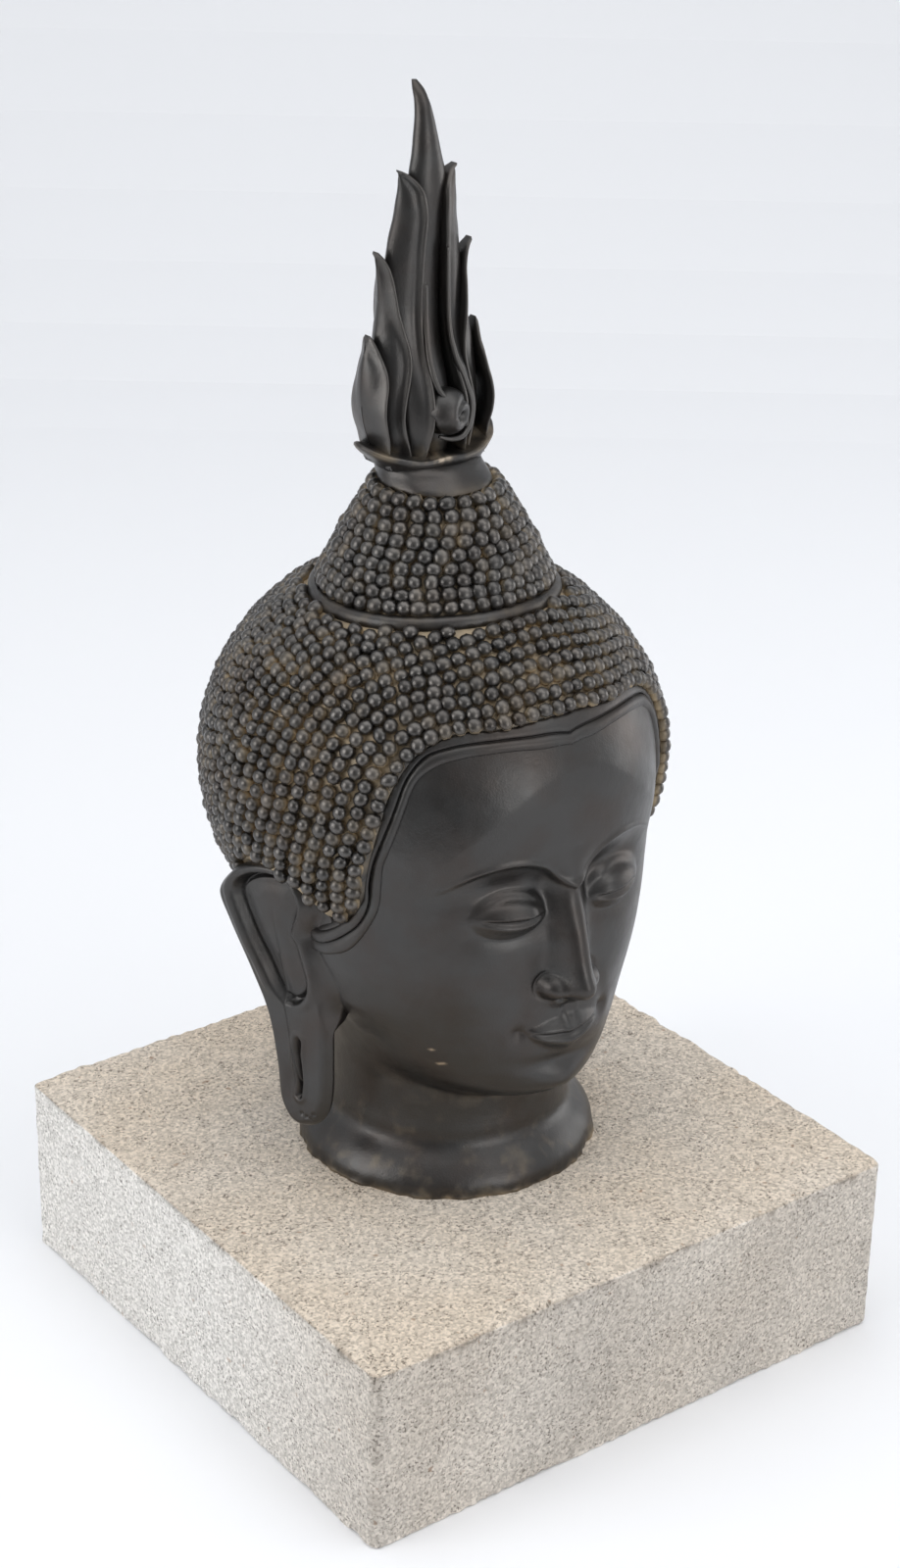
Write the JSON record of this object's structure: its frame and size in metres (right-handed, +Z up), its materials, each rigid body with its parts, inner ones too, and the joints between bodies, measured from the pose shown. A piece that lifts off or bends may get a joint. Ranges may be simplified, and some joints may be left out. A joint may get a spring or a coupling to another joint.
{
  "type": "bronze buddha head on a granite plinth",
  "caption": "Over-life-size dark bronze head with snail-curl hair, a cone-shaped crown and a flame finial, standing on a square granite plinth.",
  "frame": {"origin": "centre of the plinth's underside", "axes": "+Z up; the face looks along -Y; the head's own right is at -X"},
  "size_m": [0.4, 0.4, 0.7946],
  "materials": {
    "granite": "sawn, unpolished",
    "bronze_head": "near-black satin patina with tan dirt between the curls",
    "bronze_flame": "near-black satin patina"
  },
  "bodies": {
    "root": {"granite_plinth": "granite", "bronze_head": "bronze_head", "flame_finial": "bronze_flame"}
  },
  "joints": []
}
